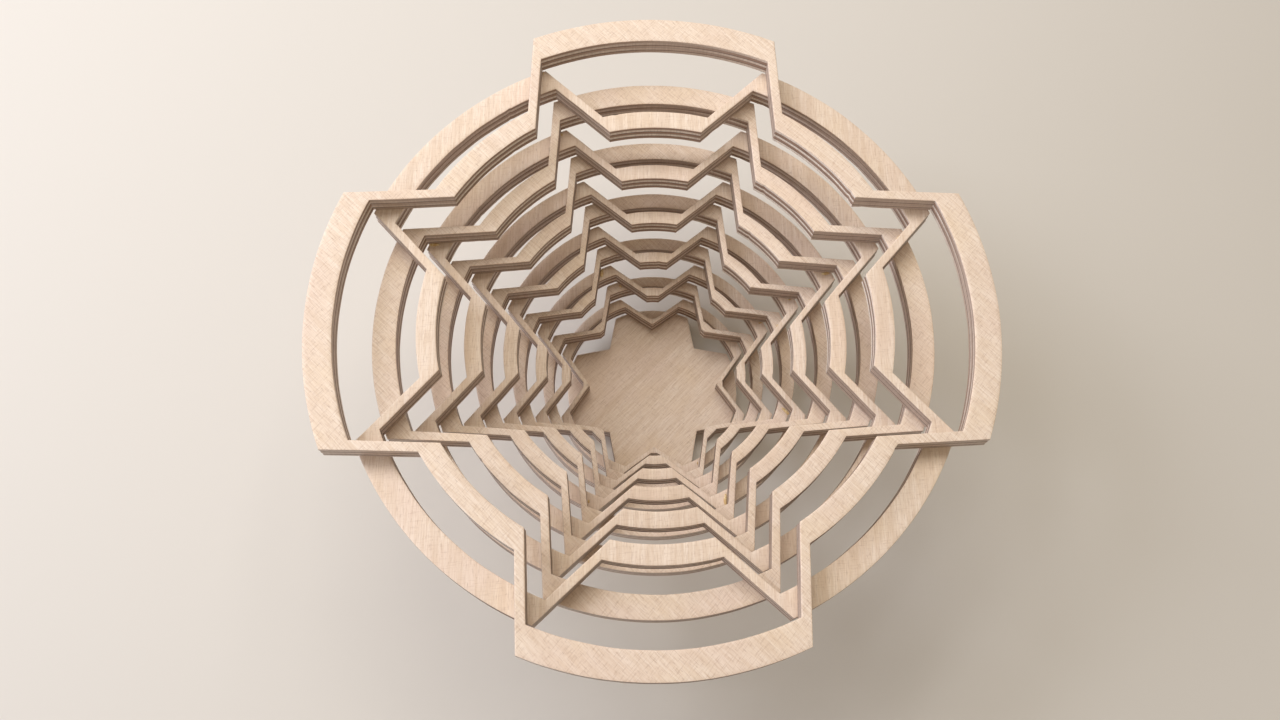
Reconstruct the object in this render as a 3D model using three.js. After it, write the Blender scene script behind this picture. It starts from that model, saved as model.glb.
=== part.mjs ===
// A fruit bowl of laser-cut plywood: a solid base and twelve open rings, each turned an eighth
// of a turn from the one below it and glued where the corners of their lobes cross.
// All the pieces come out of one board, each from the hole of the next larger one.

import * as THREE from 'three';

// Driving sizes, in millimetres
const sheetThickness = 6;
const ringCount = 12; // open rings above the solid base
const rimLobeRadius = 90; // outside of the rim's lobes, from the bowl's axis
const rimBridgeRadius = 69.1; // outside of the arcs between those lobes
const rimLobeTip = 34.6; // half of a lobe's width at its end
const rimLobeRoot = 35.5; // half of a lobe's width where it joins the arcs beside it
const baseLobeRadius = 26.88; // the same four sizes of the solid base
const baseBridgeRadius = 19.27;
const baseLobeTip = 11.84;
const baseLobeRoot = 13.74;
const narrowing = 0.93; // each ring's widths of wood, over those of the ring outside it
const kerf = 0.2; // what the laser burns away between two nested pieces
const shortestBridge = 1; // lobes that come nearer than this meet in a sharp notch

const lobeCount = 4;
const lobePitch = (2 * Math.PI) / lobeCount;
const arcSegments = 6; // three.js cuts an arc into twice as many

// The widths of wood of this many rings, counted inwards, over the width of the rim's.
function woodOfRings(rings) {
  let widths = 0;
  for (let ring = 0; ring < rings; ring += 1) {
    widths += narrowing ** ring;
  }
  return widths;
}

// One closed edge of the nest. Step 0 is the outside of the rim, the last step is the outside
// of the base, and each one between is the hole of one ring and the outside of the next. The
// margin moves the edge outwards.
function nestedEdge(step, margin = 0) {
  const inwards = woodOfRings(step) / woodOfRings(ringCount);
  const size = (rimSize, baseSize) => rimSize + (baseSize - rimSize) * inwards + margin;
  const lobe = size(rimLobeRadius, baseLobeRadius);
  const bridge = size(rimBridgeRadius, baseBridgeRadius);
  const tip = size(rimLobeTip, baseLobeTip);
  const root = size(rimLobeRoot, baseLobeRoot);
  // Near the base the lobes' sides meet before they reach the bridge arc.
  const bridgeReach = Math.sqrt(Math.max(bridge ** 2 - root ** 2, 0));
  const hasBridge = bridgeReach - root > shortestBridge;
  const rootReach = hasBridge ? bridgeReach : root;
  return {
    hasBridge,
    lobe,
    tipAngle: Math.asin(tip / lobe),
    notch: Math.hypot(rootReach, root),
    rootAngle: Math.atan2(root, rootReach),
  };
}

// Traces an edge anticlockwise: a lobe's end arc, its straight side, the bridge arc or sharp
// notch, and the straight side of the next lobe.
function traceEdge(path, edge) {
  for (let lobe = 0; lobe < lobeCount; lobe += 1) {
    const middle = lobe * lobePitch;
    const leave = middle + edge.rootAngle;
    const arrive = middle + lobePitch - edge.rootAngle;
    path.absarc(0, 0, edge.lobe, middle - edge.tipAngle, middle + edge.tipAngle, false);
    if (edge.hasBridge) {
      path.absarc(0, 0, edge.notch, leave, arrive, false);
    } else {
      path.lineTo(edge.notch * Math.cos(leave), edge.notch * Math.sin(leave));
    }
  }
  path.closePath();
  return path;
}

function cutFromSheet(outline) {
  return new THREE.ExtrudeGeometry(outline, {
    depth: sheetThickness,
    bevelEnabled: false,
    curveSegments: arcSegments,
  });
}

function ringGeometry(step) {
  const outline = traceEdge(new THREE.Shape(), nestedEdge(step));
  outline.holes.push(traceEdge(new THREE.Path(), nestedEdge(step + 1, kerf)));
  return cutFromSheet(outline);
}

function baseGeometry() {
  return cutFromSheet(traceEdge(new THREE.Shape(), nestedEdge(ringCount)));
}

function birchPlywood(colour) {
  return new THREE.MeshStandardMaterial({ color: colour, roughness: 0.62, metalness: 0 });
}

function ringName(number) {
  const digits = String(number).padStart(2, '0');
  return number === 1 ? `ring_${digits}_rim` : `ring_${digits}`;
}

const bowl = new THREE.Group();
bowl.name = 'plywood_ring_bowl';

const base = new THREE.Mesh(baseGeometry(), birchPlywood('#cfb394'));
base.name = 'base_plate';
bowl.add(base);

for (let number = ringCount; number >= 1; number -= 1) {
  const layersBelow = ringCount + 1 - number;
  const ring = new THREE.Mesh(ringGeometry(number - 1), birchPlywood('#e2cbb2'));
  ring.name = ringName(number);
  ring.position.z = layersBelow * sheetThickness;
  ring.rotation.z = (layersBelow % 2) * (lobePitch / 2);
  bowl.add(ring);
}

export default bowl;
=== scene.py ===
import math

import bpy
import numpy as np
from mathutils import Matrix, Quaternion, Vector


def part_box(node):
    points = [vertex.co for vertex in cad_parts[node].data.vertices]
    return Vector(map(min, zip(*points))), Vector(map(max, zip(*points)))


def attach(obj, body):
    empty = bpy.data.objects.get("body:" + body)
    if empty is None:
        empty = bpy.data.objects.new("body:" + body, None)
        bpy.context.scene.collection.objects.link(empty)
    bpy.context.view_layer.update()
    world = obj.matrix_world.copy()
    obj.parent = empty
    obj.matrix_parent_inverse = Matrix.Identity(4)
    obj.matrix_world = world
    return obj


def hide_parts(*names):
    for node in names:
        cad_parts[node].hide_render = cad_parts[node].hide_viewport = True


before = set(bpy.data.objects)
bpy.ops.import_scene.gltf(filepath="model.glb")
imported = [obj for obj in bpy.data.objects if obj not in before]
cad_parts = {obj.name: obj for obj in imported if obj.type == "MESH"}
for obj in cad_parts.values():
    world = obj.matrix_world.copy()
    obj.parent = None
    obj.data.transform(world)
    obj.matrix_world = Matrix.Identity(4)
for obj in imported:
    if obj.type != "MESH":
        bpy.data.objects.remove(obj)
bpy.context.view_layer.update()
mm = 0.001
print("frame loaded:", len(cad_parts), "CAD pieces")


def addObject(name, data):
    piece = bpy.data.objects.new(name, data)
    bpy.context.scene.collection.objects.link(piece)
    return piece


def standAt(piece, place, target, roll=0.0):
    # stands a lens or a lamp at a place in mm, turned so that its -Z points at the target, and
    # rolled by some degrees about that line
    level = (Vector(target) - Vector(place)).to_track_quat("-Z", "Y")
    piece.location = Vector(place) * mm
    piece.rotation_mode = "QUATERNION"
    piece.rotation_quaternion = level @ Quaternion((0, 0, 1), math.radians(roll))


# Camera: stands over the front of the bowl and looks down into it

view = {
    "lens": (-9.9, -97.5, 348.9),  # mm, where the lens is
    "aim": (14.9, 26.3, 40.0),  # mm, a point on the lens axis
    "roll": 10.3,  # degrees, anticlockwise
    "sensor": 36.0,  # mm wide
    "focal": 31.3,  # mm
    "shift": (-0.05, -0.068),  # shares of the frame's width
    "nearest": 0.01,  # m, nothing nearer is drawn
}


def placeCamera():
    lens = bpy.data.cameras.new("camera")
    lens.sensor_width = view["sensor"]
    lens.lens = view["focal"]
    lens.shift_x, lens.shift_y = view["shift"]
    lens.clip_start = view["nearest"]
    camera = addObject("camera", lens)
    standAt(camera, view["lens"], view["aim"], view["roll"])
    bpy.context.scene.camera = camera


placeCamera()
print("camera placed")


# Shared by all the materials


def linearColour(hexColour):
    # sRGB hex to linear: c/12.92 near black, ((c + 0.055)/1.055)^2.4 above
    parts = [int(hexColour[i : i + 2], 16) / 255 for i in (1, 3, 5)]
    flat = [c / 12.92 if c <= 0.04045 else ((c + 0.055) / 1.055) ** 2.4 for c in parts]
    return (*flat, 1.0)


def addNode(tree, kind, inputs=None, **settings):
    # an input is a number, a vector, a hex colour, or the node or socket that feeds it
    node = tree.nodes.new(kind)
    for name, value in settings.items():
        setattr(node, name, value)
    for socket, value in (inputs or {}).items():
        if isinstance(value, bpy.types.Node):
            value = next(output for output in value.outputs if output.enabled)
        if isinstance(value, bpy.types.NodeSocket):
            tree.links.new(value, node.inputs[socket])
        else:
            isColour = isinstance(value, str)
            node.inputs[socket].default_value = linearColour(value) if isColour else value
    return node


def newMaterial(name):
    material = bpy.data.materials.new(name)
    material.use_nodes = True
    material.node_tree.nodes.clear()
    return material, material.node_tree


patternShift = (2.3, 1.7, 0.0)  # from one pattern to the next, so that no two look alike


def layPatterns(tree, places, patterns):
    # each pattern is noise on one of the places, stretched to so many mm across and along
    waves = {}
    for name, (place, across, along, detail, roughness) in patterns.items():
        size = (1 / (along * mm), 1 / (across * mm), 1.0)
        shift = tuple(step * len(waves) for step in patternShift)
        spot = addNode(
            tree, "ShaderNodeMapping", {"Vector": places[place], "Scale": size, "Location": shift}
        )
        waves[name] = addNode(
            tree,
            "ShaderNodeTexNoise",
            {"Vector": spot, "Scale": 1.0, "Detail": detail, "Roughness": roughness},
        )
    return waves


def layTints(tree, colour, waves, tints):
    # mixes each tint over the ones before, more and more as its wave goes from start to full
    for wave, start, full, strength, tint in tints:
        share = addNode(
            tree,
            "ShaderNodeMapRange",
            {"Value": waves[wave], "From Min": start, "From Max": full, "To Max": strength},
            interpolation_type="SMOOTHSTEP",
        )
        # inputs 0, 6 and 7 are the share and the two colours
        colour = addNode(
            tree, "ShaderNodeMix", {0: share, 6: colour, 7: tint}, data_type="RGBA"
        )
    return colour


# Birch plywood, sanded and bare: the face veneer is pale and matt, with fine hairlines

face = {
    "ground": "#f1e2d4",  # early wood
    "patterns": {  # coordinates, mm across, mm along, detail, roughness of the noise
        "fibre": ("grain", 0.5, 8, 3.0, 0.65),
        "hair": ("grain", 0.3, 3.0, 2.0, 0.6),  # real pores are 0.05 mm, too fine to show
        "figure": ("grain", 2.6, 45, 2.0, 0.55),
        "warmPatch": ("board", 16, 16, 3.0, 0.5),
        "pinkPatch": ("board", 26, 26, 2.0, 0.5),
        "fleck": ("grain", 0.34, 1.5, 1.0, 0.5),  # short pores, too fine to show as well
        "scratch": ("sanding", 0.32, 3.4, 2.0, 0.6),  # 180 grit leaves strokes under 0.1 mm
    },
    "tints": [  # pattern, where it starts, where it is full, strength, colour
        ("fibre", 0.36, 0.64, 0.7, "#dfcab5"),
        ("warmPatch", 0.45, 0.7, 0.3, "#e5cdac"),
        ("pinkPatch", 0.45, 0.65, 0.35, "#e3ccbf"),
        ("hair", 0.5, 0.72, 0.3, "#a17d64"),
        ("fleck", 0.66, 0.74, 0.32, "#946f56"),
    ],
    # the rim and every second ring show more cross sanding, the others and the base more figure
    "crossSanded": [
        ("figure", 0.45, 0.7, 0.28, "#d8c1ab"),
        ("scratch", 0.5, 0.7, 0.27, "#a17d64"),
    ],
    "alongGrain": [
        ("figure", 0.42, 0.66, 0.45, "#d8c1ab"),
        ("scratch", 0.52, 0.72, 0.2, "#a17d64"),
    ],
    "grainTurn": 45.0,  # degrees that bring the grain onto the pattern's long axis
    "sandingTurn": 86.0,  # degrees from the grain to the sander's strokes
    "relief": 0.06,  # mm, the fibres that stand proud
    "reliefStrength": 0.5,
    "roughness": 0.62,  # bare sanded wood scatters nearly everything
    "ior": 1.5,
}


def sandedBirchFace(name, marks):
    # the ground colour with tints laid over it, by noise stretched along the grain, along the
    # sander's strokes or neither; the relief is the sum of the fibre and hair patterns
    material, tree = newMaterial(name)
    places = {"board": addNode(tree, "ShaderNodeUVMap", uv_map="board")}
    for place, start in (("grain", "board"), ("sanding", "grain")):
        turn = (0, 0, math.radians(face[place + "Turn"]))
        places[place] = addNode(
            tree, "ShaderNodeMapping", {"Vector": places[start], "Rotation": turn}
        )
    waves = layPatterns(tree, places, face["patterns"])
    colour = layTints(tree, face["ground"], waves, face["tints"] + marks)
    height = addNode(tree, "ShaderNodeMath", {0: waves["fibre"], 1: waves["hair"]}, operation="ADD")
    bump = addNode(
        tree,
        "ShaderNodeBump",
        {
            "Strength": face["reliefStrength"],
            "Distance": face["relief"] * mm,
            "Height": height,
        },
    )
    shader = addNode(
        tree,
        "ShaderNodeBsdfPrincipled",
        {
            "Base Color": colour,
            "Roughness": face["roughness"],
            "IOR": face["ior"],
            "Metallic": 0.0,
            "Normal": bump,
        },
    )
    addNode(tree, "ShaderNodeOutputMaterial", {"Surface": shader})
    return material


# The laser's cut through the plies: toasted, darkest on end grain, with thin glue lines

cut = {
    "longGrain": "#f1e7dc",  # plies cut along their fibres
    "endGrain": "#9f8473",  # plies cut across their fibres char more
    "charStart": 0.12,  # share of end grain at which the char starts to show
    "plies": 5,
    "ply": 1.2,  # mm
    "line": 0.09,  # mm, half of a glue line's width
    "lineReach": 1.6,  # how far the line fades out, over that half width
    "patterns": {
        "pulses": ("run", 5.0, 0.45, 2.0, 0.6),  # the laser's own are too fine to show
        "scorch": ("run", 1.5, 9.0, 2.0, 0.5),
    },
    "tints": [
        ("pulses", 0.35, 0.7, 0.3, "#9a7f6e"),
        ("scorch", 0.55, 0.8, 0.4, "#664c3e"),
        ("line", 0.0, 0.9, 0.9, "#47342a"),
    ],
    "crossedDarker": 0.3,  # added to a crossed ply's char, too light at 1 less the share
    "relief": 0.08,  # mm
    "reliefStrength": 0.5,
    "roughness": 0.5,  # char is a little glossier than the sanded faces
    "ior": 1.5,
}


def laserCutEdge():
    # Plies are counted by height over a ply's thickness, and every second one is crossed. Char
    # is the share of end grain, or in a crossed ply 1 + crossedDarker less that share. A glue
    # line is 1 less the distance to it over its reach.
    material, tree = newMaterial("laserCutPlyEdge")
    run = addNode(tree, "ShaderNodeUVMap", uv_map="cut")
    parts = addNode(tree, "ShaderNodeSeparateXYZ", {0: run})
    sums = [  # name, operation, its two terms
        ("plies", "DIVIDE", parts.outputs[1], cut["ply"] * mm),
        ("number", "FLOOR", "plies", 0.0),
        ("crossed", "MODULO", "number", 2.0),
        ("crossedChar", "SUBTRACT", 1.0 + cut["crossedDarker"], "endGrain"),
        ("difference", "SUBTRACT", "crossedChar", "endGrain"),
        ("added", "MULTIPLY", "difference", "crossed"),
        ("char", "ADD", "added", "endGrain"),
        ("fromLine", "PINGPONG", "plies", 0.5),
        ("inPly", "DIVIDE", "fromLine", cut["lineReach"] * cut["line"] / cut["ply"]),
        ("line", "SUBTRACT", 1.0, "inPly"),
    ]
    waves = layPatterns(tree, {"run": run}, cut["patterns"])
    grain = addNode(tree, "ShaderNodeAttribute", attribute_name="endGrain")
    waves["endGrain"] = grain.outputs["Fac"]
    for name, operation, first, second in sums:
        terms = {0: waves.get(first, first), 1: waves.get(second, second)}
        waves[name] = addNode(tree, "ShaderNodeMath", terms, operation=operation)
    tints = [("char", cut["charStart"], 1.0, 1.0, cut["endGrain"])] + cut["tints"]
    colour = layTints(tree, cut["longGrain"], waves, tints)
    bump = addNode(
        tree,
        "ShaderNodeBump",
        {
            "Strength": cut["reliefStrength"],
            "Distance": cut["relief"] * mm,
            "Height": waves["pulses"],
        },
    )
    shader = addNode(
        tree,
        "ShaderNodeBsdfPrincipled",
        {
            "Base Color": colour,
            "Roughness": cut["roughness"],
            "IOR": cut["ior"],
            "Metallic": 0.0,
            "Normal": bump,
        },
    )
    addNode(tree, "ShaderNodeOutputMaterial", {"Surface": shader})
    return material


crossSandedFace = sandedBirchFace("crossSandedBirch", face["crossSanded"])
alongGrainFace = sandedBirchFace("sandedBirch", face["alongGrain"])
cutMaterial = laserCutEdge()
print("plywood materials made")


# The nest of rings, as it was cut from one board

nest = {
    "lobes": 4,
    "rings": 12,  # open rings above the base
    # mm: lobe radius, bridge radius, lobe half width at tip and at root
    "rim": (90.0, 69.1, 34.6, 35.5),
    "base": (26.88, 19.27, 11.84, 13.74),
    "narrowing": 0.93,  # each ring's widths over those of the ring outside it
    "kerf": 0.2,  # mm, burnt away by the laser
    "shortestBridge": 1.0,  # mm, a sharp notch takes the place of any shorter one
    "grain": -45.0,  # degrees, in the rim's own frame
    "baseTurn": 90.0,  # degrees, which sets the way the base's grain runs
    "lobeEnd": 88,  # spans along a lobe's end
    "side": 22,  # spans along a lobe's side
    "bridge": 56,  # spans along a bridge or a notch, an even number
    "notchFoot": 0.18,  # share of a lobe's side that the notch's spans reach up
    "baseRows": (0.25, 0.5, 0.75, 0.95),  # shares of the way from the base's middle to its edge
}

lobePitch = 2 * math.pi / nest["lobes"]


def nodeOf(number):
    # the CAD piece of a layer, counted down from the rim
    if number > nest["rings"]:
        return "base_plate"
    return "ring_%02d" % number + ("_rim" if number == 1 else "")


def turnOf(number):
    # every second ring is turned by half a lobe's pitch
    if number > nest["rings"]:
        return math.radians(nest["baseTurn"])
    return 0.0 if number % 2 else -lobePitch / 2


def nestedSizes(step, margin=0.0):
    # rim + (base - rim) * share + margin, where share is the width of the first rings, as many
    # as step says, over the width of all of them
    woods = nest["narrowing"] ** np.arange(nest["rings"])
    inwards = woods[:step].sum() / woods.sum()
    rim, base = np.array(nest["rim"]), np.array(nest["base"])
    return rim + (base - rim) * inwards + margin


def onCircle(radius, angle):
    # x = radius * cosine, y = radius * sine
    return np.stack([radius * np.cos(angle), radius * np.sin(angle)], -1)


def between(start, end, spans):
    # start + (end - start) * share, for the points inside an even division into spans
    share = np.arange(1, spans)[:, None] / spans
    return start + (end - start) * share


def turned(points, angle):
    # x * cosine - y * sine, x * sine + y * cosine
    x, y = points[..., 0], points[..., 1]
    cosine, sine = math.cos(angle), math.sin(angle)
    return np.stack([x * cosine - y * sine, x * sine + y * cosine], -1)


def outlineOf(step, margin=0.0):
    # One edge of the nest, anticlockwise in mm: for each lobe its end arc, its straight side,
    # the bridge arc or the sharp notch, and the next lobe's straight side.
    lobe, bridge, tip, root = nestedSizes(step, margin)
    tipAngle = math.asin(tip / lobe)
    reach = math.sqrt(max(bridge**2 - root**2, 0))
    lobeEnd = onCircle(lobe, np.linspace(-tipAngle, tipAngle, nest["lobeEnd"] + 1))
    nextTip = onCircle(lobe, np.array([lobePitch - tipAngle]))[0]
    if reach - root > nest["shortestBridge"]:
        rootAngle = math.atan2(root, reach)
        span = np.linspace(rootAngle, lobePitch - rootAngle, nest["bridge"] + 1)
        middle = onCircle(bridge, span)
    else:
        notch = np.array([root, root])
        half = nest["bridge"] // 2
        foot = notch + (lobeEnd[-1] - notch) * nest["notchFoot"]
        otherFoot = notch + (nextTip - notch) * nest["notchFoot"]
        down, up = between(foot, notch, half), between(notch, otherFoot, half)
        middle = np.concatenate([foot[None], down, notch[None], up, otherFoot[None]])
    side = between(lobeEnd[-1], middle[0], nest["side"])
    otherSide = between(middle[-1], nextTip, nest["side"])
    quarter = np.concatenate([lobeEnd, side, middle, otherSide])
    return np.concatenate([turned(quarter, lobePitch * turn) for turn in range(nest["lobes"])])


def outwardMitres(loop):
    # at each point, the sum of its two edges' outward normals over 1 + their dot product, so
    # that an offset along it keeps both edges parallel
    run = np.roll(loop, -1, 0) - loop
    run /= np.linalg.norm(run, axis=1, keepdims=True)
    after = np.stack([run[:, 1], -run[:, 0]], -1)
    before = np.roll(after, 1, 0)
    return (before + after) / (1 + (before * after).sum(1, keepdims=True))


def runAlong(loop):
    # distance along the loop to each point, and the whole length
    step = np.linalg.norm(np.roll(loop, -1, 0) - loop, axis=1)
    return np.concatenate([[0], np.cumsum(step)])


def endGrainOf(loop):
    # sine of the angle between the cut and the grain, for each span of the loop
    run = np.roll(loop, -1, 0) - loop
    run /= np.linalg.norm(run, axis=1, keepdims=True)
    along = math.radians(nest["grain"])
    return np.abs(run[:, 0] * math.sin(along) - run[:, 1] * math.cos(along))


# How the cut edge stands: plies burnt back, worn arrises and small chips underneath

edge = {
    "topArris": 0.2,  # mm, rounding left by the sanding
    "topUneven": 0.35,  # share of it that comes and goes
    "topBend": 0.3,  # where the arris bends, as a share of its size
    "lowArris": 0.09,  # mm, the underside was hardly sanded
    "lowUneven": 0.5,
    "lowBend": (0.35, 0.28),  # the same underneath, in depth and in height
    "lowRise": 1.2,  # how high the low arris runs up the wall, over its depth
    "burntBack": 0.07,  # mm, the crossed plies behind the others
    "lineBack": 0.02,  # mm, the wood beside a glue line behind the rest
    "taper": 0.06,  # mm, the laser's cut is wider at the top
    "waver": 0.06,  # mm, unevenness of the cut
    "waves": {"wall": 60, "low": 90, "top": 40},  # most waves round the ring
    "startMark": (0.22, 0.5),  # mm, depth and width of the nick where the cut starts and ends
    "chipSpacing": 42.0,  # mm of edge for each chip
    "fewestChips": 2,
    "chipDepth": (0.12, 0.42),  # mm
    "chipWidth": (0.5, 1.6),  # mm
    "veneer": 0.8,  # mm, strip of face beside the arris
    "widestStrip": 0.3,  # share of the band that this strip may take
    "sharpAngle": 28.0,  # degrees, edges at least this sharp aren't shaded smooth
    "seed": 100,  # the layer's number is added to it
}


def wavering(run, rng, waves):
    # sum of sines that close on themselves round the loop, of about unit size
    length = run[-1]
    place = run[:-1, None] / length * 2 * math.pi
    count = np.arange(1, waves + 1)
    size = rng.normal(size=waves) / np.sqrt(count)
    phase = rng.uniform(0, 2 * math.pi, waves)
    total = (size * np.sin(place * count + phase)).sum(1)
    return total / np.abs(total).max()


def chipsAlong(run, rng):
    # each chip is a bell curve of its own depth and width along the edge
    length = run[-1]
    count = max(edge["fewestChips"], int(length / edge["chipSpacing"]))
    centre = rng.uniform(0, length, count)
    depth = rng.uniform(*edge["chipDepth"], count)
    width = rng.uniform(*edge["chipWidth"], count)
    away = np.abs(run[:-1, None] - centre)
    away = np.minimum(away, length - away)
    return (depth * np.exp(-((away / width) ** 2))).max(1)


def startMark(run, rng):
    # one bell-shaped nick somewhere along the cut
    depth, width = edge["startMark"]
    away = np.abs(run[:-1] - rng.uniform(0, run[-1]))
    return depth * np.exp(-((np.minimum(away, run[-1] - away) / width) ** 2))


def wallProfile(run, layer):
    # The cut wall from underside to top, as depths into the wood and heights in mm. Each row is
    # one line along the wall: the chipped low arris, five plies and the rounded top arris.
    rng, thickness, scale = layer["rng"], layer["thickness"], layer["scale"]
    waves = edge["waves"]
    waver = (1 + wavering(run, rng, waves["wall"])) * edge["waver"] + startMark(run, rng) * scale
    low = edge["lowArris"] * (1 + edge["lowUneven"] * wavering(run, rng, waves["low"]))
    low = low + chipsAlong(run, rng) * scale
    top = edge["topArris"] * (1 + edge["topUneven"] * wavering(run, rng, waves["top"]))
    ply, line = cut["ply"], cut["line"]
    flat = np.ones_like(waver)
    bendDepth, bendHeight = edge["lowBend"]
    rows = [
        (low, 0 * flat),
        (low * bendDepth, low * bendHeight),
        (0 * flat, np.minimum(low * edge["lowRise"], ply - 2 * line)),
    ]
    for number in range(cut["plies"]):
        back = edge["burntBack"] * flat * (number % 2) + edge["lineBack"]
        if number > 0:
            rows.append((back, flat * (number * ply + line)))
        if number < cut["plies"] - 1:
            rows.append((back, flat * ((number + 1) * ply - line)))
    rows += [
        (0 * flat, thickness - top),
        (top * edge["topBend"], thickness - top * edge["topBend"]),
        (top, thickness * flat),
    ]
    depth = np.array([row[0] for row in rows])
    height = np.array([row[1] for row in rows])
    return depth + waver + edge["taper"] * height / thickness, height


def wallRows(loop, layer, intoWood):
    # loop + mitre * depth: the wall's points on the board, (rows, columns, 2), with their
    # heights and the run; intoWood is -1 for an outer wall and 1 for the wall of a hole
    run = runAlong(loop)
    depth, height = wallProfile(run, layer)
    mitre = outwardMitres(loop) * intoWood
    return loop[None] + mitre[None] * depth[..., None], height, run


def gridCorners(rows, columns, closedRows):
    # the four corners of each quad of a grid whose columns close on themselves
    row = np.arange(rows if closedRows else rows - 1)[:, None]
    column = np.arange(columns)[None]
    nextRow, nextColumn = (row + 1) % rows, (column + 1) % columns
    here, beside = row * columns + column, row * columns + nextColumn
    above, diagonal = nextRow * columns + column, nextRow * columns + nextColumn
    return np.stack([here, beside, diagonal, above], -1).reshape(-1, 4)


def poleFans(rows, columns):
    # the triangles that close such a grid at its first and last row, to the two points that
    # follow the grid's own
    here = np.arange(columns)
    ahead = (here + 1) % columns
    last = (rows - 1) * columns
    pole = np.full(columns, rows * columns)
    low = np.stack([pole, ahead, here], -1)
    return low.tolist() + np.stack([pole + 1, here + last, ahead + last], -1).tolist()


def perCorner(values, closedRows, wrapTo=None):
    # spreads a (rows, columns, n) array to the quads' corners; wrapTo holds the values that the
    # last column runs on to, in place of the first column's
    ahead = np.roll(values, -1, 1)
    if wrapTo is not None:
        ahead[:, -1] = wrapTo
    last = len(values) if closedRows else len(values) - 1
    up, upAhead = np.roll(values, -1, 0), np.roll(ahead, -1, 0)
    corners = np.stack([values[:last], ahead[:last], upAhead[:last], up[:last]], 2)
    return corners.reshape(-1, values.shape[-1])


def placedPoints(rows, heights, layer):
    # the grid's points where the layer stands in the bowl, in mm
    placed = turned(rows, layer["turn"])
    return np.concatenate([placed, (heights + layer["low"])[..., None]], -1).reshape(-1, 3)


def newMesh(name, points, faces, materials):
    # faces are lists of point numbers, and points are in mm
    mesh = bpy.data.meshes.new(name)
    mesh.from_pydata(points * mm, [], faces)
    for material in materials:
        mesh.materials.append(material)
    mesh.polygons.foreach_set("use_smooth", np.ones(len(faces), bool))
    return mesh


def showMesh(name, mesh):
    mesh.validate()
    mesh.update()
    return addObject(name, mesh)


def plyPiece(name, layer, points, faces, isCut, boardAt, cutAt, endGrain):
    # isCut and endGrain hold one number per face, boardAt and cutAt one pair per corner
    mesh = newMesh(name, points, faces, [layer["face"], cutMaterial])
    mesh.polygons.foreach_set("material_index", isCut.astype(np.int32))
    for mapName, at in (("board", boardAt), ("cut", cutAt)):
        uvLayer = mesh.uv_layers.new(name=mapName)
        uvLayer.uv.foreach_set("vector", (at * mm).astype(np.float32).ravel())
    shares = mesh.attributes.new("endGrain", "FLOAT", "FACE")
    shares.data.foreach_set("value", endGrain.astype(np.float32))
    mesh.set_sharp_from_angle(angle=math.radians(edge["sharpAngle"]))
    return showMesh(name, mesh)


def ringPiece(name, layer):
    # A band on a grid: the columns run round the ring, the rows run up the outer wall, in across
    # the top face, down the wall of the hole and back out across the underside.
    outer, hole = outlineOf(layer["number"] - 1), outlineOf(layer["number"], nest["kerf"])
    outerRows, outerHeight, outerRun = wallRows(outer, layer, -1)
    holeRows, holeHeight, holeRun = wallRows(hole, layer, 1)
    holeRows, holeHeight = holeRows[::-1], holeHeight[::-1]
    across = holeRows[0] - outerRows[-1]
    width = np.linalg.norm(across, axis=1, keepdims=True)
    strip = across * np.minimum(edge["veneer"] / width, edge["widestStrip"])
    faceOut, faceIn = outerRows[-1] + strip, holeRows[0] - strip
    flat = np.ones(len(outer))
    faceHeights = [flat * layer["thickness"]] * 2
    rows = np.concatenate([outerRows, [faceOut, faceIn], holeRows, [faceIn, faceOut]])
    heights = np.concatenate([outerHeight, faceHeights, holeHeight, [flat * 0] * 2])
    wall = len(outerRows)
    count, columns = rows.shape[:2]
    # the run of the wall that each row belongs to, and where the row's last span ends
    runs, ends = [
        np.concatenate([[outerPart] * (wall + 1), [holePart] * (wall + 2), [outerPart]])
        for outerPart, holePart in ((outerRun[:-1], holeRun[:-1]), (outerRun[-1], holeRun[-1]))
    ]
    spanEnds = np.stack([ends, heights[:, 0]], -1)
    isCut = np.zeros(count)
    isCut[: wall - 2] = 1  # the upper half of the top arris belongs to the face
    isCut[wall + 4 : 2 * wall + 1] = 1  # at the hole all of that arris does
    endGrain = np.zeros((count, columns))
    endGrain[: wall + 1] = endGrainOf(outer)
    endGrain[wall + 1 :] = endGrainOf(hole)
    return plyPiece(
        name,
        layer,
        placedPoints(rows, heights, layer),
        gridCorners(count, columns, True).tolist(),
        np.repeat(isCut, columns),
        perCorner(rows, True),
        perCorner(np.stack([runs, heights], -1), True, spanEnds),
        endGrain.ravel(),
    )


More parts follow.
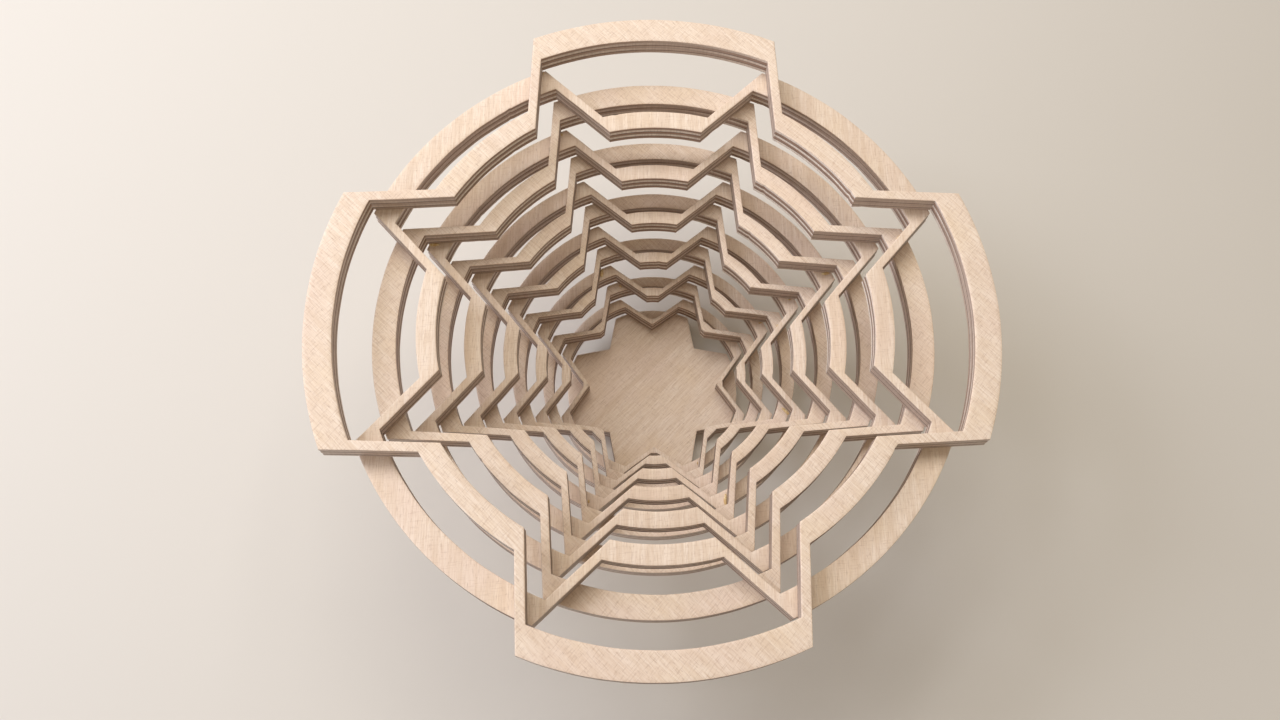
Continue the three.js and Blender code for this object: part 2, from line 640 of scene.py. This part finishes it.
def basePiece(name, layer):
    # The base is a star about its middle: from its underside's middle the rows run out to the
    # edge, up the wall and back in over the top to the middle.
    outer = outlineOf(nest["rings"])
    wallPoints, wallHeight, run = wallRows(outer, layer, -1)
    shares = np.array(nest["baseRows"])[:, None, None]
    inner, wall = len(shares), len(wallPoints)
    under, over = wallPoints[0] * shares, wallPoints[-1] * shares[::-1]
    flat = np.ones(len(outer))
    thickness = layer["thickness"]
    rows = np.concatenate([under, wallPoints, over])
    heights = np.concatenate([[flat * 0] * inner, wallHeight, [flat * thickness] * inner])
    count, columns = rows.shape[:2]
    poles = [[0, 0, layer["low"]], [0, 0, layer["low"] + thickness]]
    middle = np.zeros((columns, 2))
    lowBoard = np.stack([middle, np.roll(rows[0], -1, 0), rows[0]], 1).reshape(-1, 2)
    topBoard = np.stack([middle, rows[-1], np.roll(rows[-1], -1, 0)], 1).reshape(-1, 2)
    runs = np.broadcast_to(run[:-1], heights.shape)
    spanEnds = np.stack([np.full(count, run[-1]), heights[:, 0]], -1)
    cutAt = perCorner(np.stack([runs, heights], -1), False, spanEnds)
    isCut = np.zeros(count - 1)
    isCut[inner : inner + wall - 3] = 1  # all of the top arris belongs to the face
    fanFaces = np.zeros(2 * columns)
    return plyPiece(
        name,
        layer,
        np.concatenate([placedPoints(rows, heights, layer), poles]),
        gridCorners(count, columns, False).tolist() + poleFans(count, columns),
        np.concatenate([np.repeat(isCut, columns), fanFaces]),
        np.concatenate([perCorner(rows, False), lowBoard, topBoard]),
        np.concatenate([cutAt, lowBoard, topBoard]),
        np.concatenate([np.tile(endGrainOf(outer), count - 1), fanFaces]),
    )


def buildLayers():
    baseNumber = nest["rings"] + 1
    for number in range(1, baseNumber + 1):
        node = nodeOf(number)
        low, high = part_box(node)
        isPlain = number == baseNumber or number % 2 == 0
        layer = {
            "number": number,
            "turn": turnOf(number),
            "low": low.z / mm,
            "thickness": (high.z - low.z) / mm,
            "rng": np.random.default_rng(edge["seed"] + number),
            "scale": nest["narrowing"] ** (number - 1),  # thinner walls have smaller flaws
            "face": alongGrainFace if isPlain else crossSandedFace,
        }
        if number == baseNumber:
            piece = basePiece("plywood_base", layer)
        else:
            piece = ringPiece("plywood_" + node, layer)
        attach(piece, "root")
        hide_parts(node)


buildLayers()
print("thirteen layers of plywood built")


# Shared by the small pieces


def joined(bodies):
    # the points and faces of several closed bodies as those of one mesh
    points, faces, count = [], [], 0
    for bodyPoints, bodyFaces in bodies:
        points.append(bodyPoints)
        faces += [[corner + count for corner in face] for face in bodyFaces]
        count += len(bodyPoints)
    return np.concatenate(points), faces


def smallPiece(name, bodies, material):
    points, faces = joined(bodies)
    piece = showMesh(name, newMesh(name, points, faces, [material]))
    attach(piece, "root")


def cloudedFinish(name, recipe):
    # the ground colour with tints laid over it, by noise on the piece's own coordinates
    material, tree = newMaterial(name)
    own = addNode(tree, "ShaderNodeTexCoord").outputs["Object"]
    waves = layPatterns(tree, {"own": own}, recipe["patterns"])
    shader = addNode(
        tree,
        "ShaderNodeBsdfPrincipled",
        {
            "Base Color": layTints(tree, recipe["ground"], waves, recipe["tints"]),
            "Roughness": recipe["roughness"],
            "IOR": recipe["ior"],
        },
    )
    addNode(tree, "ShaderNodeOutputMaterial", {"Surface": shader})
    return material


# Drops of wood glue, squeezed out where two rings cross and dried yellow

glue = {
    # ring above the drop, its lobe, side of the lobe, mm back from the corner
    "seen": [(5, 0, 1, 2.2), (8, 0, 1, 1.4), (7, 3, 1, 2.0), (9, 1, 1, 1.8), (3, 2, -1, 1.6)],
    "seenScale": 1.15,
    "others": 19,
    "othersBack": (0.8, 3.0),  # mm
    "othersScale": (0.45, 0.8),  # the others are smaller
    "length": (0.8, 1.5),  # mm, half of it
    "width": (0.3, 0.5),
    "height": (0.22, 0.42),
    "offWall": 0.1,  # mm, from the wall to the drop's middle
    "raised": 0.02,  # mm, the middle above the ring's underside
    "grid": (20, 11),  # points round the drop and from its foot to its top
    "lumps": (0.16, 0.1),  # shares by which it bulges twice and three times round
    "seed": 31,
    "ground": "#e6d3a6",
    "patterns": {"cloud": ("own", 0.8, 0.8, 2.0, 0.5)},
    "tints": [("cloud", 0.35, 0.65, 1.0, "#d2b078")],
    "roughness": 0.28,  # dried PVA is smooth and a little glossy
    "ior": 1.46,
}


def cornerSpot(number, lobe, side, back):
    # a point on the hole's side wall of a ring, back mm from a lobe's corner, and the directions
    # along that wall towards the axis and square to it into the hole
    radius, _, tip, _ = nestedSizes(number, nest["kerf"])
    turn = lobe * lobePitch + turnOf(number)
    ahead = np.array([math.cos(turn), math.sin(turn)])
    across = np.array([-ahead[1], ahead[0]]) * side
    corner = ahead * math.sqrt(radius**2 - tip**2) + across * tip
    return corner - ahead * back, -ahead, -across


def dropOf(centre, along, out, size, rng):
    # A lumpy ellipsoid on a grid of turns and heights: its long axis lies along the wall, and
    # about half of it is in the wood.
    turns, levels = glue["grid"]
    turn = np.linspace(0, 2 * math.pi, turns, endpoint=False)
    level = np.linspace(-math.pi / 2, math.pi / 2, levels + 2)[1:-1]
    turn, level = np.meshgrid(turn, level)
    phase = rng.uniform(0, 2 * math.pi, 2)
    double, triple = glue["lumps"]
    lump = 1 + double * np.sin(2 * turn + phase[0])
    lump = lump + triple * np.sin(3 * turn + phase[1] + level)
    x = size[0] * lump * np.cos(level) * np.cos(turn)
    y = size[1] * lump * np.cos(level) * np.sin(turn)
    z = size[2] * np.sin(level)
    flat = centre[:2] + x[..., None] * along + y[..., None] * out
    points = np.concatenate([flat, (z + centre[2])[..., None]], -1).reshape(-1, 3)
    poles = np.array([[*centre[:2], centre[2] - size[2]], [*centre[:2], centre[2] + size[2]]])
    faces = gridCorners(levels, turns, False).tolist() + poleFans(levels, turns)
    if along[0] * out[1] - along[1] * out[0] < 0:  # a mirrored drop would be inside out
        faces = [corners[::-1] for corners in faces]
    return np.concatenate([points, poles]), faces


def glueDrops():
    rng = np.random.default_rng(glue["seed"])
    spots = [(*spot, glue["seenScale"]) for spot in glue["seen"]]
    for _ in range(glue["others"]):
        ring, lobe = rng.integers(1, nest["rings"]), rng.integers(0, nest["lobes"])
        side, back = rng.choice([-1, 1]), rng.uniform(*glue["othersBack"])
        spots.append((ring, lobe, side, back, rng.uniform(*glue["othersScale"])))
    drops = []
    for number, lobe, side, back, scale in spots:
        place, along, out = cornerSpot(number, lobe, side, back)
        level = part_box(nodeOf(number))[0].z / mm
        size = [rng.uniform(*glue[key]) * scale for key in ("length", "width", "height")]
        centre = np.array([*(place + out * glue["offWall"]), level + glue["raised"]])
        drops.append(dropOf(centre, along, out, size, rng))
    smallPiece("glue_drops", drops, cloudedFinish("driedWoodGlue", glue))


# Fibres that lifted along the underside where the sheet tore as it was broken out

fibres = {
    # ring, lobe, share of the way from this lobe's first corner to the next lobe's
    "seen": [(1, 2, 0.42), (1, 2, 0.435), (1, 3, 0.17), (1, 3, 0.005), (1, 3, 0.03), (3, 3, 0.12)],
    "others": 10,
    "lowestRing": 6,  # the others are on rings from the rim down to this one
    "length": (0.7, 1.7),  # mm
    "thickness": 0.11,  # mm, half of it at the root
    "taper": 0.85,  # share of the thickness lost at the tip
    "curl": (0.15, 0.4),  # how far the tip stands off, over the length
    "droop": (-0.1, 0.12),  # mm, the tip below the root
    "rootInside": (0.12, 0.05),  # mm, the root behind the outline, and the sliver behind that
    "rootHeight": 0.2,  # mm above the underside
    "grid": (8, 6),  # points along the fibre and round it
    "seed": 52,
    "ground": "#eee0d0",
    "patterns": {"streak": ("own", 0.3, 0.3, 2.0, 0.5)},
    "tints": [("streak", 0.35, 0.65, 1.0, "#cdb49b")],
    "roughness": 0.7,
    "ior": 1.5,
}


def sliverAlong(root, run, out, length, rng):
    # A thin tapering tube: it starts inside the wood, runs along the edge and curls outwards
    # with the square of its length.
    stations, sides = fibres["grid"]
    up = np.array([0, 0, 1])
    share = np.linspace(0, 1, stations)[:, None]
    curl = rng.uniform(*fibres["curl"]) * length
    spine = root + run * share * length + out * (share**2 * curl - fibres["rootInside"][1])
    spine = spine - up * share * rng.uniform(*fibres["droop"])
    turn = np.linspace(0, 2 * math.pi, sides, endpoint=False)
    radius = fibres["thickness"] * (1 - fibres["taper"] * share)
    around = np.cos(turn)[None, :, None] * out + np.sin(turn)[None, :, None] * up
    points = (spine[:, None] + around * radius[:, None]).reshape(-1, 3)
    faces = gridCorners(stations, sides, False)
    caps = [list(range(sides))[::-1], list(range((stations - 1) * sides, stations * sides))]
    if np.dot(np.cross(out, up), run) < 0:
        faces, caps = faces[:, ::-1], [cap[::-1] for cap in caps]
    return points, faces.tolist() + caps


def liftedFibres():
    rng = np.random.default_rng(fibres["seed"])
    spots = list(fibres["seen"])
    for _ in range(fibres["others"]):
        ring, lobe = rng.integers(1, fibres["lowestRing"] + 1), rng.integers(0, nest["lobes"])
        spots.append((ring, lobe, rng.uniform(0, 1)))
    slivers = []
    for number, lobe, share in spots:
        loop = outlineOf(number - 1)
        start = int((lobe + share) * len(loop) / nest["lobes"]) % len(loop)
        ends = turned(loop[[start, (start + 1) % len(loop)]], turnOf(number))
        run = np.append(ends[1] - ends[0], 0)
        run /= np.linalg.norm(run)
        out = np.array([run[1], -run[0], 0])
        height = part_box(nodeOf(number))[0].z / mm + fibres["rootHeight"]
        root = np.append(ends[0], height) - out * fibres["rootInside"][0]
        slivers.append(sliverAlong(root, run, out, rng.uniform(*fibres["length"]), rng))
    smallPiece("lifted_fibres", slivers, cloudedFinish("tornBirchFibre", fibres))


glueDrops()
liftedFibres()
print("glue and fibres added")


# Light: a high and a low window on the left, two pale walls, and a pale room all round

light = {
    "lamps": {  # place and size in mm, power in watts
        "window": ((-670, 340, 640), (500, 500), 5.7, "#f6f7ff"),
        "upperWall": ((-40, 310, 620), (460, 300), 1.8, "#fff8ec"),
        "lowWindow": ((-840, -240, 240), (500, 400), 3.3, "#e7ecff"),
        "viewerSide": ((150, -800, 420), (900, 600), 0.8, "#fff4e6"),
    },
    "aim": (0, 0, 40),  # mm, the middle of the bowl
    "room": "#f8e6cb",
    "roomStrength": 0.36,
}


def softLight(name, place, size, power, colour):
    lamp = bpy.data.lights.new(name, "AREA")
    lamp.shape = "RECTANGLE"
    lamp.size, lamp.size_y = size[0] * mm, size[1] * mm
    lamp.energy = power
    lamp.color = linearColour(colour)[:3]
    standAt(addObject(name, lamp), place, light["aim"])


def lightScene():
    for name, (place, size, power, colour) in light["lamps"].items():
        softLight(name, place, size, power, colour)
    world = bpy.data.worlds.new("paleRoom")
    world.use_nodes = True
    world.node_tree.nodes.clear()
    back = addNode(
        world.node_tree,
        "ShaderNodeBackground",
        {"Color": light["room"], "Strength": light["roomStrength"]},
    )
    addNode(world.node_tree, "ShaderNodeOutputWorld", {"Surface": back})
    bpy.context.scene.world = world
    bpy.context.scene.view_settings.view_transform = "Standard"


# Floor: matt pale card under the base

floor = {
    "size": 40.0,  # m across, so that its edge is out of sight
    "colour": "#d8d5d0",
    "roughness": 0.85,
}


def layFloor():
    half = floor["size"] / 2
    corners = [(-half, -half, 0), (half, -half, 0), (half, half, 0), (-half, half, 0)]
    mesh = bpy.data.meshes.new("floor")
    mesh.from_pydata(corners, [], [(0, 1, 2, 3)])
    material, tree = newMaterial("paleCard")
    shader = addNode(
        tree,
        "ShaderNodeBsdfPrincipled",
        {"Base Color": floor["colour"], "Roughness": floor["roughness"]},
    )
    addNode(tree, "ShaderNodeOutputMaterial", {"Surface": shader})
    mesh.materials.append(material)
    piece = addObject("floor", mesh)


lightScene()
layFloor()
print("lights and floor placed")
